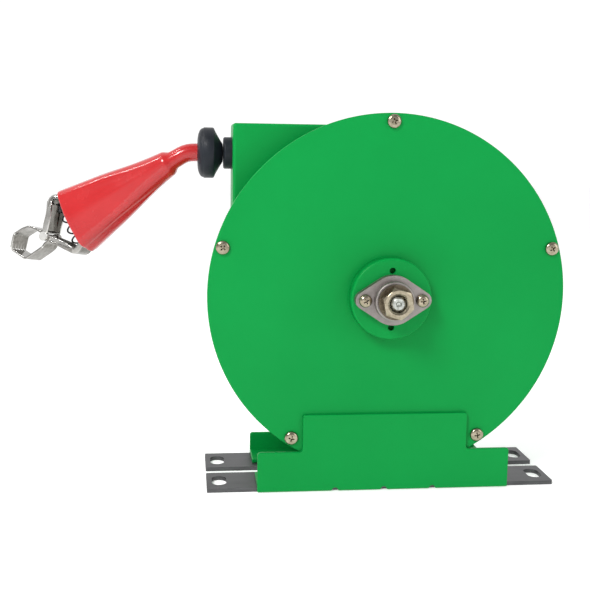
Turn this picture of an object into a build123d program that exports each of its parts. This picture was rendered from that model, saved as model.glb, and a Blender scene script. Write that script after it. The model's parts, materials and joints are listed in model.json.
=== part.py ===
"""Spring-return grounding cable reel, foot mounted, with a cable stop and a booted spring clip.

Millimetres. X runs along the foot bars, Y is the shaft direction (front at -Y), Z is up.
The origin is on the floor, under the shaft, midway between the front and the rear face.
"""

import math
import os

from build123d import *

os.makedirs("parts", exist_ok=True)

# ---------------------------------------------------------------- driving dimensions
SHAFT_Z = 138.0  # height of the shaft above the floor

# housing
COVER_R = 125.0
SHEET = 1.5
COVER_FRONT_Y = -39.0
SHELL_R = 113.0
SHELL_REAR_Y = 39.0
COVER_SCREW_R = 119.4
COVER_SCREW_ANGLES = (90.0, 163.5, 236.2, 303.8, 16.5)
COVER_SCREW_D = 5.0
COVER_HEAD_D = 9.5
COVER_HEAD_H = 3.0

# foot bars
BAR_L = 250.0
BAR_W = 33.0
BAR_T = 3.0
BAR_PITCH = 45.0
SLOT_X = 116.0
SLOT_W = 10.5
SLOT_L = 18.0

# brackets
BRACKET_T = 3.0
BRACKET_W = 180.0
BRACKET_TAB_W = 117.0
BRACKET_BOTTOM_Z = 0.4
BRACKET_STEP_Z = 29.0
BRACKET_TAB_Z = 55.5
REAR_STEP_Z = 19.0
BRACKET_LEDGE = 28.0
BRACKET_BOLT_X = 40.0
BRACKET_BOLT_Z = 46.0
RELIEF_R = 2.2

# hub stack on the front, measured outwards from the cover
BOSS_D = 56.0
BOSS_H = 10.0
FLANGE_L = 52.0
FLANGE_H = 34.0
FLANGE_T = 6.0
FLANGE_COLLAR_D = 27.0
FLANGE_COLLAR_T = 12.0
FLANGE_SCREW_X = 19.5
FLANGE_SCREW_D = 5.0
SHAFT_D = 12.7
WASHER_D = 24.0
WASHER_T = 2.0
NUT_AF = 19.0
NUT_T = 8.5
SHAFT_OUT = 32.0

# spool
DRUM_R = 72.0
DRUM_WALL = 2.0
DRUM_HALF = 27.0
SPOOL_FLANGE_R = 106.0
SPOOL_FLANGE_T = 2.0
WOUND_R = 93.0
BUSH_D = 18.0
BUSH_CLEAR = 0.05
CABLE_D = 6.0
CABLE_Z = SHAFT_Z + 96.5

# cable guide box
BOX_LEFT_X = -107.0
BOX_RIGHT_X = -18.0
BOX_BOTTOM_Z = 147.0
BOX_TOP_Z = 255.0
BOX_HALF_Y = 18.0

# outlet bushing and cable stop
BUSHING_D = 22.0
BUSHING_OUT = 6.0
STOP_D = 35.0
STOP_FACE_X = -131.0
STOP_REAR_X = -113.5
STOP_RIM = 8.0

# boot and clip
HINGE_X = -138.5
NECK_D = 12.5
SHOULDER = (-149.0, 228.2)
BOOT_DOWN = 31.0
BOOT_YAW = 20.5
BOOT_TWIST = 11.0
BOOT_L = 85.0
BOOT_WALL = 1.6
MOUTH_H = 47.0
MOUTH_W = 30.0
CLIP_SHEET = 1.3
PIVOT_X = 110.1
PIVOT_Z = 0.0
PIVOT_D = 4.0
EYE_R = 3.1
SPRING_X = 91.0
SPRING_R = 3.9
SPRING_HALF = 19.2
SPRING_PITCH = 7.68


COVER_SCREW_SPOTS = [
    (COVER_SCREW_R * math.cos(math.radians(angle)), COVER_SCREW_R * math.sin(math.radians(angle)))
    for angle in COVER_SCREW_ANGLES
]
BRACKET_BOLT_SPOTS = [(-BRACKET_BOLT_X, BRACKET_BOLT_Z), (BRACKET_BOLT_X, BRACKET_BOLT_Z)]
SHELL_BOLT_SPOTS = [(x, z - SHAFT_Z) for x, z in BRACKET_BOLT_SPOTS]


def at_y(y):
    """A plane square to the shaft, looking forward along -Y, with the shaft at its centre."""
    return Plane(origin=(0, y, SHAFT_Z), x_dir=(1, 0, 0), z_dir=(0, -1, 0))


def save(part, name):
    part.label = name
    export_step(part, f"parts/{name}.step")


def pan_head(diameter, height):
    """Outline of half a pan head, to turn about its own axis."""
    return [(0, 0), (diameter / 2, 0), (diameter / 2, height * 0.45), (diameter * 0.34, height), (0, height)]


# ---------------------------------------------------------------- foot bars
def foot_bar(centre_y):
    with BuildPart() as bar:
        with BuildSketch(Plane.XY):
            with Locations((0, centre_y)):
                Rectangle(BAR_L, BAR_W)
        extrude(amount=BAR_T)
        edges = bar.edges().filter_by(Axis.Z)
        fillet(edges, 1.0)
        with BuildSketch(Plane.XY):
            with Locations((-SLOT_X, centre_y), (SLOT_X, centre_y)):
                SlotOverall(SLOT_L, SLOT_W, rotation=90)
        extrude(amount=BAR_T, mode=Mode.SUBTRACT)
    return bar.part


save(foot_bar(-BAR_PITCH / 2), "front_foot_bar")
save(foot_bar(BAR_PITCH / 2), "rear_foot_bar")


# ---------------------------------------------------------------- brackets
def bracket(side, step_z):
    """Plate beyond the bar's edge with a ledge welded on the bar; side is -1 at the front, +1 at the rear."""
    outer = side * (abs(COVER_FRONT_Y) + BRACKET_T)
    half = BRACKET_W / 2
    tab = BRACKET_TAB_W / 2
    face = Plane(origin=(0, outer, 0), x_dir=(1, 0, 0), z_dir=(0, -1, 0))
    with BuildPart() as part:
        with BuildSketch(face):
            Polygon(
                (-half, BRACKET_BOTTOM_Z),
                (half, BRACKET_BOTTOM_Z),
                (half, step_z),
                (tab, step_z),
                (tab, BRACKET_TAB_Z),
                (-tab, BRACKET_TAB_Z),
                (-tab, step_z),
                (-half, step_z),
                align=None,
            )
        extrude(amount=side * BRACKET_T)
        corners = part.edges().filter_by(Axis.Y).group_by(Axis.Z)
        fillet(corners[-1] + part.edges().filter_by(Axis.Y).filter_by_position(Axis.Z, step_z, step_z), 2.0)
        with BuildSketch(Plane.XY.offset(BAR_T)):
            with Locations((0, outer - side * BRACKET_LEDGE / 2)):
                Rectangle(BRACKET_W, BRACKET_LEDGE)
        extrude(amount=BRACKET_T)
        if side < 0:
            with BuildSketch(face):
                with Locations((-35, BRACKET_BOTTOM_Z), (0, BRACKET_BOTTOM_Z), (35, BRACKET_BOTTOM_Z)):
                    Circle(RELIEF_R)
            extrude(amount=-BRACKET_T, mode=Mode.SUBTRACT)
        else:
            with BuildSketch(face):
                with Locations(*BRACKET_BOLT_SPOTS):
                    Circle(3.2)
            extrude(amount=BRACKET_T, mode=Mode.SUBTRACT)
    return part.part


save(bracket(-1, BRACKET_STEP_Z), "front_bracket")
save(bracket(1, REAR_STEP_Z), "rear_bracket")


# ---------------------------------------------------------------- housing
with BuildPart() as front_cover:
    with BuildSketch(at_y(COVER_FRONT_Y)):
        Circle(COVER_R)
        Circle(SHAFT_D / 2 + 1.5, mode=Mode.SUBTRACT)
        with Locations(*COVER_SCREW_SPOTS):
            Circle(COVER_SCREW_D / 2 + 0.2, mode=Mode.SUBTRACT)
    extrude(amount=-SHEET)
    rim = front_cover.edges().filter_by(GeomType.CIRCLE).filter_by(lambda e: e.radius > COVER_R - 1)
    fillet(rim, 0.5)
save(front_cover.part, "front_cover")

flange_front = COVER_FRONT_Y + SHEET
with BuildPart() as housing_shell:
    with BuildSketch(at_y(flange_front)):
        Circle(COVER_R)
    extrude(amount=-SHEET)
    with BuildSketch(at_y(flange_front)):
        Circle(SHELL_R)
    extrude(amount=-(SHELL_REAR_Y - flange_front))
    back_edge = housing_shell.edges().filter_by(GeomType.CIRCLE).group_by(Axis.Y)[-1]
    fillet(back_edge, 4.0)
    with BuildSketch(at_y(flange_front)):
        Circle(SHELL_R - SHEET)
    extrude(amount=-(SHELL_REAR_Y - SHEET - flange_front), mode=Mode.SUBTRACT)
    with BuildSketch(at_y(flange_front)):
        with Locations(*COVER_SCREW_SPOTS):
            Circle(COVER_SCREW_D / 2 + 0.2)
    extrude(amount=-SHEET, mode=Mode.SUBTRACT)
    with BuildSketch(at_y(SHELL_REAR_Y)):
        Circle(SHAFT_D / 2 + 1.5)
        with Locations(*SHELL_BOLT_SPOTS):
            Circle(3.2)
    extrude(amount=SHEET, mode=Mode.SUBTRACT)
    with BuildSketch(Plane.XY.offset(CABLE_Z - 12)):
        with Locations((-62, 0)):
            Rectangle(70, 2 * BOX_HALF_Y - 8)
    extrude(amount=40, mode=Mode.SUBTRACT)
save(housing_shell.part, "housing_shell")

with BuildPart() as cable_guide_box:
    with BuildSketch(Plane.XY.offset(BOX_BOTTOM_Z)):
        with Locations(((BOX_LEFT_X + BOX_RIGHT_X) / 2, 0)):
            Rectangle(BOX_RIGHT_X - BOX_LEFT_X, 2 * BOX_HALF_Y)
    extrude(amount=BOX_TOP_Z - BOX_BOTTOM_Z)
    upper = cable_guide_box.edges().group_by(Axis.Z)[-1]
    left = cable_guide_box.edges().filter_by(Axis.Z).group_by(Axis.X)[0]
    fillet(upper + left, 2.0)
    with BuildSketch(Plane.XY.offset(BOX_BOTTOM_Z)):
        with Locations(((BOX_LEFT_X + BOX_RIGHT_X) / 2, 0)):
            Rectangle(BOX_RIGHT_X - BOX_LEFT_X - 2 * SHEET, 2 * (BOX_HALF_Y - SHEET))
    extrude(amount=BOX_TOP_Z - SHEET - BOX_BOTTOM_Z, mode=Mode.SUBTRACT)
    with BuildSketch(at_y(-BOX_HALF_Y - 5)):
        Circle(SHELL_R)
    extrude(amount=-(2 * BOX_HALF_Y + 10), mode=Mode.SUBTRACT)
    with BuildSketch(Plane.YZ.offset(BOX_LEFT_X)):
        with Locations((0, CABLE_Z)):
            Circle(8.1)
    extrude(amount=SHEET, mode=Mode.SUBTRACT)
box_solid = cable_guide_box.part.solids().sort_by(SortBy.VOLUME)[-1]
save(box_solid, "cable_guide_box")

with BuildPart() as cover_screws:
    with BuildSketch(at_y(COVER_FRONT_Y)):
        with Locations(*COVER_SCREW_SPOTS):
            Circle(COVER_SCREW_D / 2)
    extrude(amount=-9)
    with BuildSketch(at_y(COVER_FRONT_Y)):
        with Locations(*COVER_SCREW_SPOTS):
            Circle(COVER_HEAD_D / 2)
    extrude(amount=COVER_HEAD_H)
    tops = cover_screws.edges().filter_by(GeomType.CIRCLE).group_by(Axis.Y)[0]
    fillet(tops, 1.8)
save(cover_screws.part, "cover_screws")

with BuildPart() as cover_nuts:
    with BuildSketch(at_y(flange_front + SHEET)):
        with Locations(*COVER_SCREW_SPOTS):
            RegularPolygon(4.5, 6, rotation=30)
            Circle(COVER_SCREW_D / 2, mode=Mode.SUBTRACT)
    extrude(amount=-3.5)
save(cover_nuts.part, "cover_nuts")


# ---------------------------------------------------------------- hub on the cover
def boss(front_y, holes):
    with BuildPart() as part:
        with BuildSketch(at_y(front_y)):
            Circle(BOSS_D / 2)
        extrude(amount=-BOSS_H)
        rims = part.edges().filter_by(GeomType.CIRCLE)
        outer_rim = rims.group_by(Axis.Y)[0 if holes else -1]
        fillet(outer_rim, 1.5)
        with BuildSketch(at_y(front_y)):
            Circle(SHAFT_D / 2 + 0.5)
            if holes:
                with PolarLocations(FLANGE_SCREW_X, 4, start_angle=0):
                    Circle(FLANGE_SCREW_D / 2 - 0.3)
        extrude(amount=-BOSS_H, mode=Mode.SUBTRACT)
    return part.part


save(boss(COVER_FRONT_Y - BOSS_H, True), "front_boss")
save(boss(SHELL_REAR_Y, False), "rear_boss")

boss_face = COVER_FRONT_Y - BOSS_H
with BuildPart() as shaft_flange:
    with BuildSketch(at_y(boss_face)):
        Circle(FLANGE_H / 2)
        with Locations((-FLANGE_L / 2 + 6, 0), (FLANGE_L / 2 - 6, 0)):
            Circle(6)
        make_hull()
    extrude(amount=FLANGE_T)
    with BuildSketch(at_y(boss_face - FLANGE_T)):
        Circle(FLANGE_COLLAR_D / 2)
    extrude(amount=FLANGE_COLLAR_T - FLANGE_T)
    collar_top = shaft_flange.edges().filter_by(GeomType.CIRCLE).group_by(Axis.Y)[0]
    fillet(collar_top, 1.0)
    with BuildSketch(at_y(boss_face)):
        Circle(SHAFT_D / 2 + 0.05)
        with Locations((-FLANGE_SCREW_X, 0), (FLANGE_SCREW_X, 0)):
            Circle(FLANGE_SCREW_D / 2 + 0.2)
    extrude(amount=FLANGE_COLLAR_T + 1, mode=Mode.SUBTRACT)
save(shaft_flange.part, "shaft_flange")

with BuildPart() as flange_screws:
    with BuildSketch(at_y(boss_face - FLANGE_T)):
        with Locations((-FLANGE_SCREW_X, 0), (FLANGE_SCREW_X, 0)):
            Circle(FLANGE_SCREW_D / 2)
    extrude(amount=-FLANGE_T)
    with BuildSketch(at_y(boss_face)):
        with Locations((-FLANGE_SCREW_X, 0), (FLANGE_SCREW_X, 0)):
            Circle(FLANGE_SCREW_D / 2 - 0.3)
    extrude(amount=-(BOSS_H - 1))
    with BuildSketch(at_y(boss_face - FLANGE_T)):
        with Locations((-FLANGE_SCREW_X, 0), (FLANGE_SCREW_X, 0)):
            Circle(4.4)
    extrude(amount=4.2)
    heads = flange_screws.edges().filter_by(GeomType.CIRCLE).group_by(Axis.Y)[0]
    fillet(heads, 1.6)
save(flange_screws.part, "flange_screws")

collar_face = boss_face - FLANGE_COLLAR_T
rear_face = SHELL_REAR_Y + BOSS_H
shaft_front = COVER_FRONT_Y - SHAFT_OUT
shaft_rear = rear_face + WASHER_T + NUT_T + 3
with BuildPart() as fixed_shaft:
    with BuildSketch(at_y(shaft_front)):
        Circle(SHAFT_D / 2)
    extrude(amount=-(shaft_rear - shaft_front))
    ends = fixed_shaft.edges().filter_by(GeomType.CIRCLE)
    chamfer(ends, 0.8)
    with BuildSketch(at_y(shaft_front)):
        Circle(2.2)
    extrude(amount=-8, mode=Mode.SUBTRACT)
save(fixed_shaft.part, "fixed_shaft")


def ring(front_y, outer_d, inner_d, thick):
    with BuildPart() as part:
        with BuildSketch(at_y(front_y)):
            Circle(outer_d / 2)
            Circle(inner_d / 2, mode=Mode.SUBTRACT)
        extrude(amount=-thick)
    return part.part


def nut(front_y):
    with BuildPart() as part:
        with BuildSketch(at_y(front_y)):
            RegularPolygon(NUT_AF / 2, 6, major_radius=False, rotation=12)
        extrude(amount=-NUT_T)
        with BuildSketch(at_y(front_y)):
            Circle(NUT_AF * 0.585)
        extrude(amount=-NUT_T, mode=Mode.INTERSECT)
        with BuildSketch(at_y(front_y)):
            Circle(SHAFT_D / 2)
        extrude(amount=-NUT_T, mode=Mode.SUBTRACT)
    return part.part


save(ring(collar_face - WASHER_T, WASHER_D, SHAFT_D + 0.3, WASHER_T), "front_washer")
save(nut(collar_face - WASHER_T - NUT_T), "front_nut")
save(ring(rear_face, WASHER_D, SHAFT_D + 0.3, WASHER_T), "rear_washer")
save(nut(rear_face + WASHER_T), "rear_nut")

with BuildPart() as shaft_spacers:
    cover_inside = COVER_FRONT_Y + SHEET
    shell_inside = SHELL_REAR_Y - SHEET
    with BuildSketch(at_y(cover_inside)):
        Circle(10)
        Circle(SHAFT_D / 2, mode=Mode.SUBTRACT)
    extrude(amount=-(-29.4 - cover_inside))
    with BuildSketch(at_y(29.4)):
        Circle(10)
        Circle(SHAFT_D / 2, mode=Mode.SUBTRACT)
    extrude(amount=-(shell_inside - 29.4))
save(shaft_spacers.part, "shaft_spacers")

with BuildPart() as spring_arbor:
    with BuildSketch(at_y(-21.5)):
        Circle(14)
        Circle(SHAFT_D / 2, mode=Mode.SUBTRACT)
        with Locations((14, 0)):
            Rectangle(3, 4, mode=Mode.SUBTRACT)
    extrude(amount=-43)
save(spring_arbor.part, "spring_arbor")

with BuildPart() as bracket_bolts:
    with BuildSketch(at_y(SHELL_REAR_Y + BRACKET_T + 4)):
        with Locations(*SHELL_BOLT_SPOTS):
            RegularPolygon(5.0, 6, major_radius=False)
    extrude(amount=4)
    with BuildSketch(at_y(SHELL_REAR_Y + BRACKET_T)):
        with Locations(*SHELL_BOLT_SPOTS):
            Circle(3.0)
    extrude(amount=BRACKET_T + SHEET)
    with BuildSketch(at_y(shell_inside)):
        with Locations(*SHELL_BOLT_SPOTS):
            Circle(5.5)
    extrude(amount=2.5)
save(bracket_bolts.part, "bracket_bolts")

# ---------------------------------------------------------------- outlet bushing
outlet = Plane(origin=(BOX_LEFT_X, 0, CABLE_Z), x_dir=(0, 1, 0), z_dir=(-1, 0, 0))
with BuildPart() as outlet_bushing:
    with BuildSketch(outlet):
        Circle(BUSHING_D / 2)
    extrude(amount=BUSHING_OUT)
    rims = outlet_bushing.edges().filter_by(GeomType.CIRCLE).group_by(Axis.X)[0]
    fillet(rims, 1.2)
    with BuildSketch(outlet):
        Circle(8.0)
    extrude(amount=-9)
    with BuildSketch(outlet.offset(BUSHING_OUT)):
        Circle(CABLE_D / 2 + 0.6)
    extrude(amount=-(BUSHING_OUT + 9), mode=Mode.SUBTRACT)
    mouths = outlet_bushing.edges().filter_by(GeomType.CIRCLE)
    mouths = mouths.filter_by(lambda e: e.radius < CABLE_D / 2 + 1)
    fillet(mouths, 1.4)
save(outlet_bushing.part, "outlet_bushing")

with BuildPart() as bushing_nut:
    with BuildSketch(outlet.offset(-SHEET)):
        RegularPolygon(12, 6, major_radius=False)
        Circle(8.0, mode=Mode.SUBTRACT)
    extrude(amount=-4)
save(bushing_nut.part, "bushing_nut")

# ---------------------------------------------------------------- spool
drum_front = -DRUM_HALF
web_y = DRUM_HALF - DRUM_WALL
with BuildPart() as spool_drum:
    with BuildSketch(at_y(drum_front)):
        Circle(DRUM_R)
    extrude(amount=-2 * DRUM_HALF)
    with BuildSketch(at_y(drum_front)):
        Circle(DRUM_R - DRUM_WALL)
    extrude(amount=-(2 * DRUM_HALF - DRUM_WALL), mode=Mode.SUBTRACT)
    with BuildSketch(at_y(DRUM_HALF)):
        Circle(BUSH_D / 2)
        with PolarLocations(45, 4, start_angle=45):
            Circle(6)
    extrude(amount=DRUM_WALL, mode=Mode.SUBTRACT)
save(spool_drum.part, "spool_drum")

for name, face in (("spool_front_flange", drum_front - SPOOL_FLANGE_T), ("spool_rear_flange", DRUM_HALF)):
    with BuildPart() as spool_flange:
        with BuildSketch(at_y(face)):
            Circle(SPOOL_FLANGE_R)
            Circle(60, mode=Mode.SUBTRACT)
            with PolarLocations(65, 4, start_angle=45):
                Circle(2.0, mode=Mode.SUBTRACT)
        extrude(amount=-SPOOL_FLANGE_T)
    save(spool_flange.part, name)

with BuildPart() as spring_cover:
    with BuildSketch(at_y(drum_front)):
        Circle(DRUM_R - DRUM_WALL)
        Circle(BUSH_D / 2, mode=Mode.SUBTRACT)
        with PolarLocations(65, 4, start_angle=45):
            Circle(2.0, mode=Mode.SUBTRACT)
    extrude(amount=-DRUM_WALL)
save(spring_cover.part, "spring_cover")

with BuildPart() as spring_cover_screws:
    head_y = drum_front - SPOOL_FLANGE_T
    with BuildSketch(at_y(head_y)):
        with PolarLocations(65, 4, start_angle=45):
            Circle(3.8)
    extrude(amount=2.2)
    with BuildSketch(at_y(head_y)):
        with PolarLocations(65, 4, start_angle=45):
            Circle(2.0)
    extrude(amount=-(SPOOL_FLANGE_T + DRUM_WALL))
save(spring_cover_screws.part, "spring_cover_screws")

with BuildPart() as cable_anchor:
    with BuildSketch(at_y(drum_front - SPOOL_FLANGE_T)):
        with Locations((0, 86)):
            RectangleRounded(16, 9, 2)
    extrude(amount=4)
save(cable_anchor.part, "cable_anchor")

with BuildPart() as spool_bushes:
    for start in (drum_front - 2, web_y - 2):
        with BuildSketch(at_y(start)):
            Circle(BUSH_D / 2)
            Circle(SHAFT_D / 2 + BUSH_CLEAR, mode=Mode.SUBTRACT)
        extrude(amount=-(DRUM_WALL + 4))
save(spool_bushes.part, "spool_bushes")

spiral_turns = 9
spiral_pitch = 5.7
spiral_start = 17.0


def spiral(offset):
    """Points of the flat spring's face, offset outwards from its middle line."""
    count = 16 * spiral_turns
    points = []
    for i in range(count + 1):
        angle = 2 * math.pi * i / 16
        radius = spiral_start + spiral_pitch * i / 16 + offset
        points.append((radius * math.cos(angle), radius * math.sin(angle)))
    return points


with BuildPart() as power_spring:
    outside = spiral(0.5)
    inside = spiral(-0.5)
    with BuildSketch(at_y(-18)):
        with BuildLine():
            Spline(*outside)
            Line(outside[-1], inside[-1])
            Spline(*inside)
            Line(inside[0], outside[0])
        make_face()
    extrude(amount=-36)
save(power_spring.part, "power_spring")

coil_count = 8
with BuildPart() as wound_cable:
    with BuildSketch(Plane(origin=(0, 0, SHAFT_Z), x_dir=(1, 0, 0), z_dir=(0, 0, 1))):
        with Locations(((DRUM_R + WOUND_R - 3) / 2, 0)):
            Rectangle(WOUND_R - 3 - DRUM_R, 2 * DRUM_HALF - 1)
        for coil in range(coil_count):
            with Locations((WOUND_R - 3, (coil - (coil_count - 1) / 2) * 6.3)):
                Circle(CABLE_D / 2)
    revolve(axis=Axis((0, 0, SHAFT_Z), (0, 1, 0)))
save(wound_cable.part, "wound_cable")

# ---------------------------------------------------------------- cable and stop
with BuildPart() as outlet_cable:
    with BuildSketch(Plane(origin=(STOP_FACE_X + 6, 0, CABLE_Z), x_dir=(0, 1, 0), z_dir=(1, 0, 0))):
        Circle(CABLE_D / 2)
    extrude(amount=-(STOP_FACE_X + 6))
save(outlet_cable.part, "outlet_cable")

with BuildPart() as stop_ferrule:
    with BuildSketch(Plane(origin=(STOP_FACE_X + 4, 0, CABLE_Z), x_dir=(0, 1, 0), z_dir=(1, 0, 0))):
        Circle(CABLE_D / 2 + 1.6)
    extrude(amount=10)
    with BuildSketch(Plane(origin=(STOP_FACE_X + 6, 0, CABLE_Z), x_dir=(0, 1, 0), z_dir=(1, 0, 0))):
        Circle(CABLE_D / 2)
    extrude(amount=8, mode=Mode.SUBTRACT)
save(stop_ferrule.part, "stop_ferrule")

stop_r = STOP_D / 2
rim_x = STOP_FACE_X + 3.5
with BuildPart() as cable_stop:
    with BuildSketch(Plane(origin=(0, 0, CABLE_Z), x_dir=(1, 0, 0), z_dir=(0, -1, 0))):
        with BuildLine():
            Line((STOP_FACE_X, 0), (STOP_FACE_X, 7.5))
            Spline((STOP_FACE_X, 7.5), (STOP_FACE_X + 1.2, 13), (rim_x, stop_r - 0.6))
            Line((rim_x, stop_r - 0.6), (rim_x + 1, stop_r))
            Line((rim_x + 1, stop_r), (rim_x + STOP_RIM - 1, stop_r))
            Line((rim_x + STOP_RIM - 1, stop_r), (rim_x + STOP_RIM, stop_r - 1.2))
            Line((rim_x + STOP_RIM, stop_r - 1.2), (STOP_REAR_X, 6.5))
            Line((STOP_REAR_X, 6.5), (STOP_REAR_X, 0))
            Line((STOP_REAR_X, 0), (STOP_FACE_X, 0))
        make_face()
    revolve(axis=Axis((0, 0, CABLE_Z), (1, 0, 0)))
    with BuildSketch(Plane(origin=(STOP_FACE_X + 4, 0, CABLE_Z), x_dir=(0, 1, 0), z_dir=(1, 0, 0))):
        Circle(CABLE_D / 2 + 1.6)
    extrude(amount=10, mode=Mode.SUBTRACT)
    with BuildSketch(Plane(origin=(STOP_FACE_X + 6, 0, CABLE_Z), x_dir=(0, 1, 0), z_dir=(1, 0, 0))):
        Circle(CABLE_D / 2)
    extrude(amount=20, mode=Mode.SUBTRACT)
save(cable_stop.part, "cable_stop")

# ---------------------------------------------------------------- boot and clip
# Local frame: x along the boot from its shoulder to the jaws, z from the moving to the fixed half.
down = math.radians(BOOT_DOWN)
turn = math.radians(BOOT_TWIST)
yaw = math.radians(BOOT_YAW)
along = Vector(-math.cos(down) * math.cos(yaw), math.cos(down) * math.sin(yaw), -math.sin(down))
upright = Vector(-math.sin(down) * math.cos(yaw), math.sin(down) * math.sin(yaw), math.cos(down))
lateral = upright.cross(along)
clip_z = upright * math.cos(turn) - lateral * math.sin(turn)
clip_y = clip_z.cross(along)
CLIP = Plane(origin=(SHOULDER[0], 0, SHOULDER[1]), x_dir=along, z_dir=clip_z)


def clip_plane(y):
    """Side view plane of the clip: first coordinate along the boot, second across the jaws."""
    return Plane(origin=CLIP.from_local_coords((0, y, 0)), x_dir=CLIP.x_dir, z_dir=CLIP.y_dir * -1)


def clip_section(x):
    """Plane square to the boot's axis, first coordinate lateral, second across the jaws."""
    return Plane(origin=CLIP.from_local_coords((x, 0, 0)), x_dir=CLIP.y_dir, z_dir=CLIP.x_dir)


hinge = Vector(HINGE_X, 0, CABLE_Z)
shoulder = Vector(SHOULDER[0], 0, SHOULDER[1])
neck_ball_r = NECK_D / 2


def boot_outer(x):
    """Height and width of the boot at a distance from its shoulder."""
    share = x / BOOT_L
    return 17.0 + (MOUTH_H - 17.0) * share, 17.0 + (MOUTH_W - 17.0) * share


with BuildPart() as boot:
    neck_dir = (shoulder - hinge).normalized()
    with BuildSketch(Plane(origin=hinge, z_dir=neck_dir)):
        Circle(neck_ball_r)
    extrude(amount=(shoulder - hinge).length + 6)
    with Locations(Location(hinge)):
        Sphere(neck_ball_r)
    with BuildSketch(clip_section(0.0)):
        Circle(7.6)
    with BuildSketch(clip_section(3.5)):
        Circle(9.2)
    loft()
    for start, end in ((3.5, 30.0), (30.0, BOOT_L)):
        for station in (start, end):
            height, width = boot_outer(station)
            with BuildSketch(clip_section(station)):
                RectangleRounded(width + 0.01, height, width * (0.49 if station < 4 else 0.32))
        loft()
    with BuildSketch(clip_section(9.0)):
        Circle(6.6)
    for station in (30.0,):
        height, width = boot_outer(station)
        with BuildSketch(clip_section(station)):
            RectangleRounded(width - 2 * BOOT_WALL, height - 2 * BOOT_WALL, (width - 2 * BOOT_WALL) * 0.3)
    loft(mode=Mode.SUBTRACT)
    for station in (30.0, BOOT_L):
        height, width = boot_outer(station)
        with BuildSketch(clip_section(station)):
            RectangleRounded(width - 2 * BOOT_WALL, height - 2 * BOOT_WALL, (width - 2 * BOOT_WALL) * 0.3)
    loft(mode=Mode.SUBTRACT)
    with BuildSketch(clip_section(-2.0)):
        Circle(CABLE_D / 2)
    extrude(amount=20, mode=Mode.SUBTRACT)
save(boot.part, "boot")

LEVER_HALF = 9.0
EAR_GAP = 0.3
FIXED_LINE = [
    (44, 10.2),
    (60, 14.0),
    (84, 19.0),
    (90.5, 22.4),
    (94.5, 22.0),
    (106.5, 6.4),
    (108.2, 3.8),
    (112.0, 3.8),
    (114.2, 7.8),
    (118.5, 12.2),
    (123.5, 13.2),
    (131.5, 13.2),
    (138, 5.6),
]
MOVING_LINE = [
    (60, -13.6),
    (84, -19.0),
    (90.5, -22.2),
    (94, -21.8),
    (106.2, -6.2),
    (108.0, -3.8),
    (112.2, -3.8),
    (114.6, -5.4),
    (119.6, -5.8),
    (131.0, -6.2),
    (138, 5.1),
]


def strip(points, thickness):
    """Closed outline of a bent strip that follows the points, thickened to one side with mitred bends."""
    normals = []
    for (x0, z0), (x1, z1) in zip(points, points[1:]):
        length = math.hypot(x1 - x0, z1 - z0)
        normals.append((-(z1 - z0) / length, (x1 - x0) / length))
    before = [normals[0]] + normals
    after = normals + [normals[-1]]
    back = []
    for (x, z), (ax, az), (bx, bz) in zip(points, before, after):
        reach = thickness / (1 + ax * bx + az * bz)
        back.append((x + (ax + bx) * reach, z + (az + bz) * reach))
    return points + back[::-1]


def lever(points, thickness, ear_y, ear_points, hole_r):
    """One stamped clip half: bent web, jaw and two side ears with the pin hole."""
    with BuildPart() as part:
        with BuildSketch(clip_plane(-LEVER_HALF)):
            Polygon(*strip(points, thickness), align=None)
        extrude(amount=-2 * LEVER_HALF)
        for side in (-1, 1):
            start = side * ear_y
            with BuildSketch(clip_plane(start)):
                Polygon(*ear_points, align=None)
                with Locations((PIVOT_X, PIVOT_Z)):
                    Circle(EYE_R)
                    Circle(hole_r, mode=Mode.SUBTRACT)
            extrude(amount=-side * CLIP_SHEET)
        if thickness > 0:
            with BuildSketch(Plane(origin=CLIP.from_local_coords((52, 0, 6)), z_dir=CLIP.z_dir)):
                Circle(2.0)
            extrude(amount=12, mode=Mode.SUBTRACT)
    return part.part


FIXED_EARS = [
    (88, 21.6), (96.5, 19.8), (103, 11.2), (113.1, 1.2), (110.1, -3.0), (106.6, -2.0), (98, 9), (90, 17),
]
MOVING_EARS = [
    (87, -21.1), (96.2, -19.3), (103, -10.7), (113.1, -1.2), (110.1, 3.0), (106.6, 2.0), (98, -8.6), (90, -17),
]
fixed_ear_y = LEVER_HALF - CLIP_SHEET - 0.1
moving_ear_y = fixed_ear_y - CLIP_SHEET - EAR_GAP
save(lever(FIXED_LINE, CLIP_SHEET, fixed_ear_y, FIXED_EARS, PIVOT_D / 2), "clip_fixed_half")
save(lever(MOVING_LINE, -CLIP_SHEET, moving_ear_y, MOVING_EARS, PIVOT_D / 2 + 0.05), "clip_moving_half")

with BuildPart() as clip_pin:
    with BuildSketch(clip_plane(-LEVER_HALF)):
        with Locations((PIVOT_X, PIVOT_Z)):
            Circle(PIVOT_D / 2)
    extrude(amount=-2 * LEVER_HALF)
    for side in (-1, 1):
        with BuildSketch(clip_plane(side * LEVER_HALF)):
            with Locations((PIVOT_X, PIVOT_Z)):
                Circle(3.2)
        extrude(amount=-side * 1.2)
save(clip_pin.part, "clip_pin")

spring_base = CLIP.from_local_coords((SPRING_X, 0, -SPRING_HALF))
with BuildPart() as clip_spring:
    with BuildLine() as coil:
        Helix(SPRING_PITCH, 2 * SPRING_HALF, SPRING_R, center=spring_base, direction=CLIP.z_dir)
    with BuildSketch(Plane(coil.line @ 0, z_dir=coil.line % 0)):
        Circle(0.65)
    sweep()
save(clip_spring.part, "clip_spring")

with BuildPart() as cable_tail:
    with BuildSketch(clip_section(-1.8)):
        Circle(CABLE_D / 2)
    extrude(amount=35.8)
save(cable_tail.part, "cable_tail")

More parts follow.
